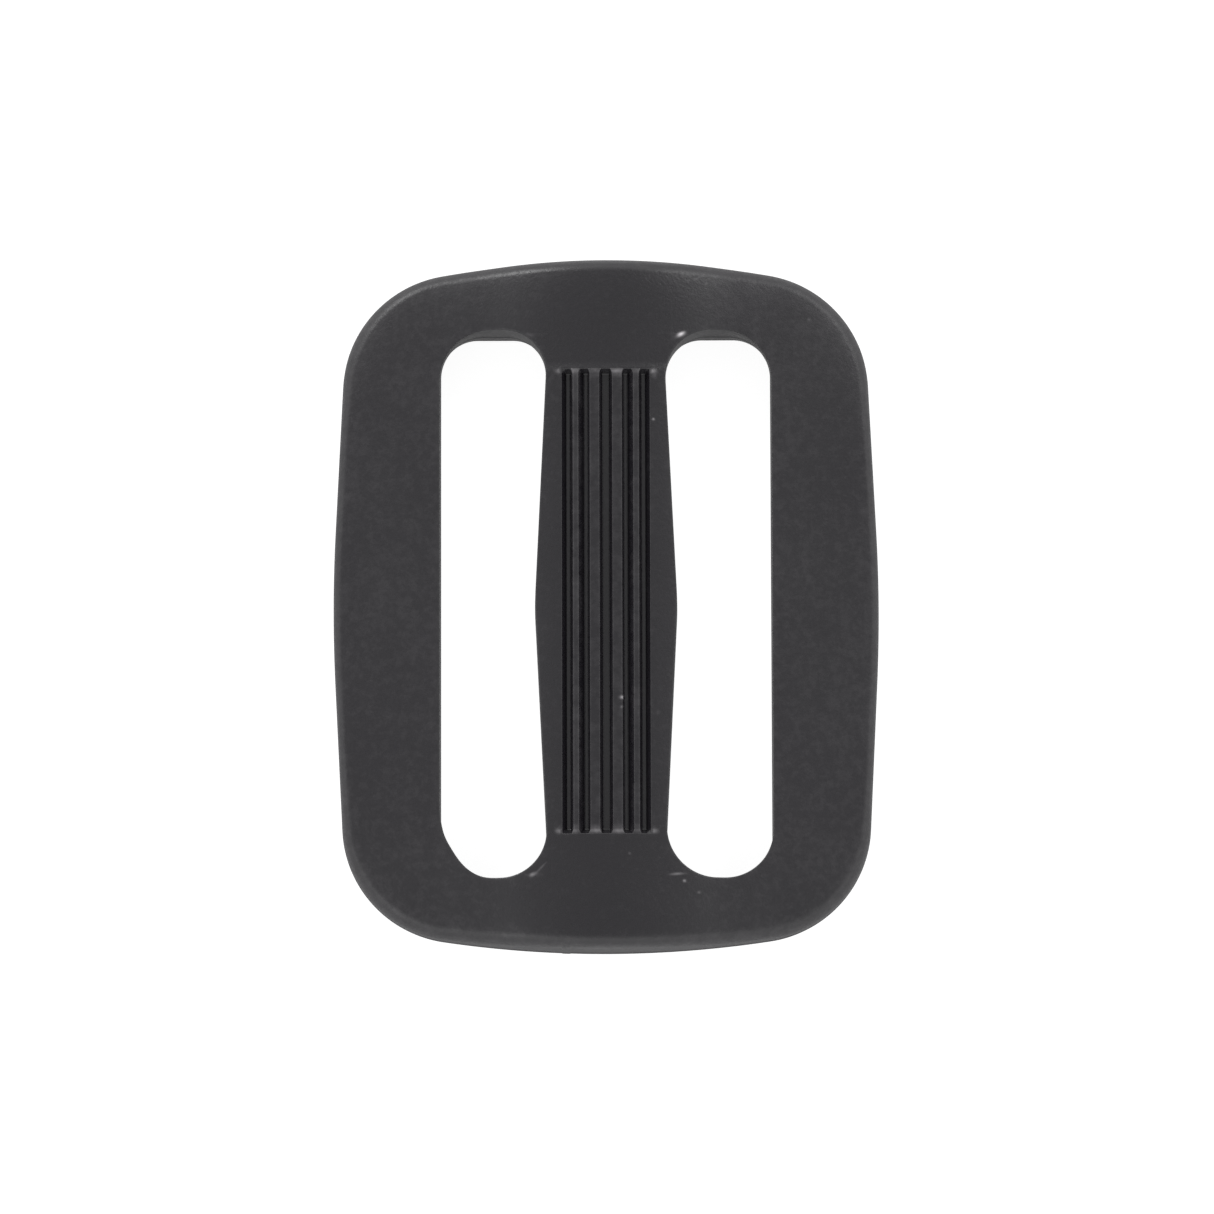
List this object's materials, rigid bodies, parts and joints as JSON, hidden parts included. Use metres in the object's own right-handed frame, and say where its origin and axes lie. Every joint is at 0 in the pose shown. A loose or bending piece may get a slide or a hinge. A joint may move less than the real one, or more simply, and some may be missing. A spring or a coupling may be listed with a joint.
{
  "type": "buckle slider",
  "caption": "Flat rounded plastic strap slider with a pair of webbing slots and a ribbed centre bar.",
  "frame": {"origin": "under the centre of the slider, on the plane of its flat back, which it rests on", "axes": "+X across the slots, the way the webbing runs; +Y along the rails, the slots and the ribbed bar; +Z out of the front"},
  "size_m": [0.0256, 0.0326, 0.0044],
  "materials": {
    "acetal": "satin black moulded acetal with a fine spark-eroded texture"
  },
  "bodies": {
    "root": {"left_rail": "acetal", "right_rail": "acetal", "upper_end_bar": "acetal", "lower_end_bar": "acetal", "centre_bar": "acetal", "grip_rib_1": "acetal", "grip_rib_2": "acetal", "grip_rib_3": "acetal", "grip_rib_4": "acetal"}
  },
  "joints": []
}
